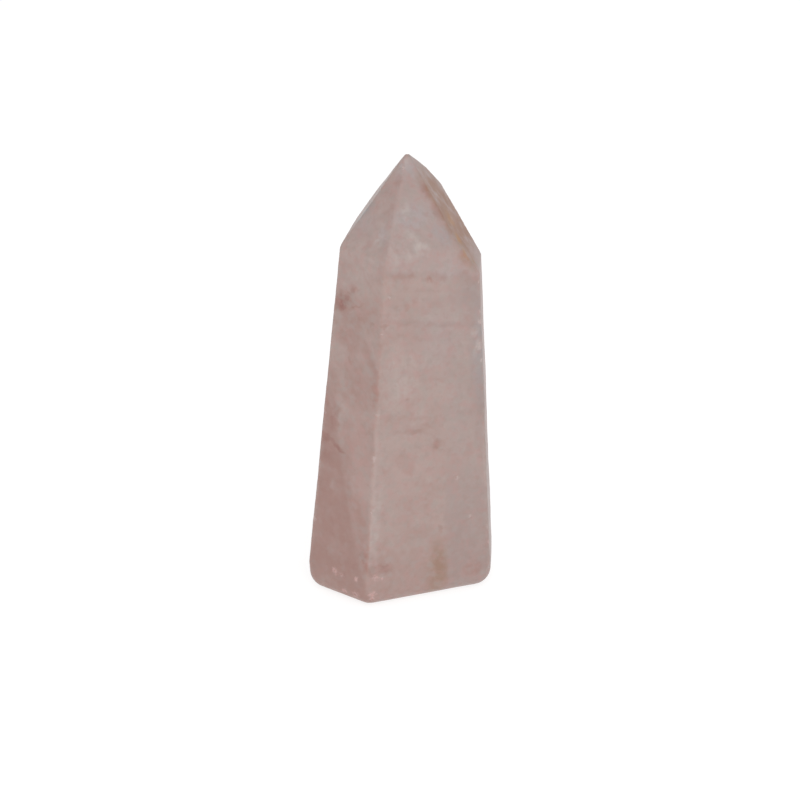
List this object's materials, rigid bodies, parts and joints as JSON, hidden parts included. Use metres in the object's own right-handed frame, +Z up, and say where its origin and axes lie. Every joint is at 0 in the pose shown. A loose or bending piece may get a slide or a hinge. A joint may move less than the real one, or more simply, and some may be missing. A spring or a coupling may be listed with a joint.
{
  "type": "rose quartz point",
  "caption": "Tapered rose quartz tower with ground side facets, a faceted pointed tip and a flat foot, for standing upright as a display stone.",
  "frame": {"origin": "middle of the bounding box's underside, on the flat foot", "axes": "+Z up to the tip, -Y out of the broad front facet, +X to the right of it"},
  "size_m": [0.0348, 0.0244, 0.0797],
  "materials": {
    "polished_rose_quartz": "polished, milky, cloudy pink"
  },
  "bodies": {
    "root": {"rose_quartz_point": "polished_rose_quartz"}
  },
  "joints": []
}
